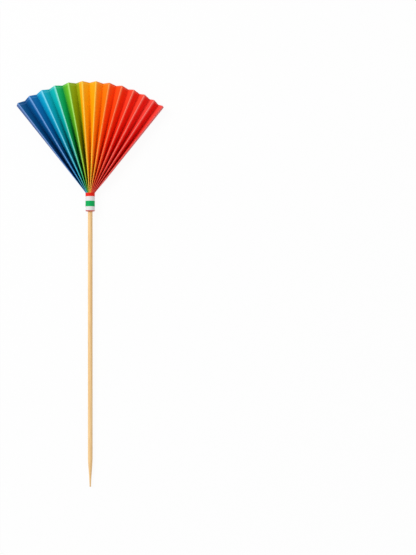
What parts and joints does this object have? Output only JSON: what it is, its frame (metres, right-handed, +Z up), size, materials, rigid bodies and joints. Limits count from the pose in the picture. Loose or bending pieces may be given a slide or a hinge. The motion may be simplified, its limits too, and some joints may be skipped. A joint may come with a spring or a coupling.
{
  "type": "paper fan pick",
  "caption": "Rainbow paper fan of sharp pleats, bound by a striped paper band to the top of a round wooden skewer with a ground point.",
  "frame": {"origin": "on the surface that the pick lies on, under the middle of its length and width", "axes": "+Y along the skewer towards the fan, +Z up out of the fan's front, +X to the right seen from the front with the fan at the top"},
  "size_m": [0.0729, 0.1999, 0.0048],
  "materials": {
    "skewer_wood": "sanded pale bamboo, unvarnished, with fine lengthwise fibres",
    "printed_fan_paper": "satin-coated paper printed in a rainbow from blue to red, with pale lines where the ridges are creased",
    "striped_band_paper": "glossy paper strip printed with red, white and green stripes, wound and glued"
  },
  "bodies": {
    "root": {"skewer": "skewer_wood", "paper_fan": "printed_fan_paper", "wrap_band": "striped_band_paper"}
  },
  "joints": []
}
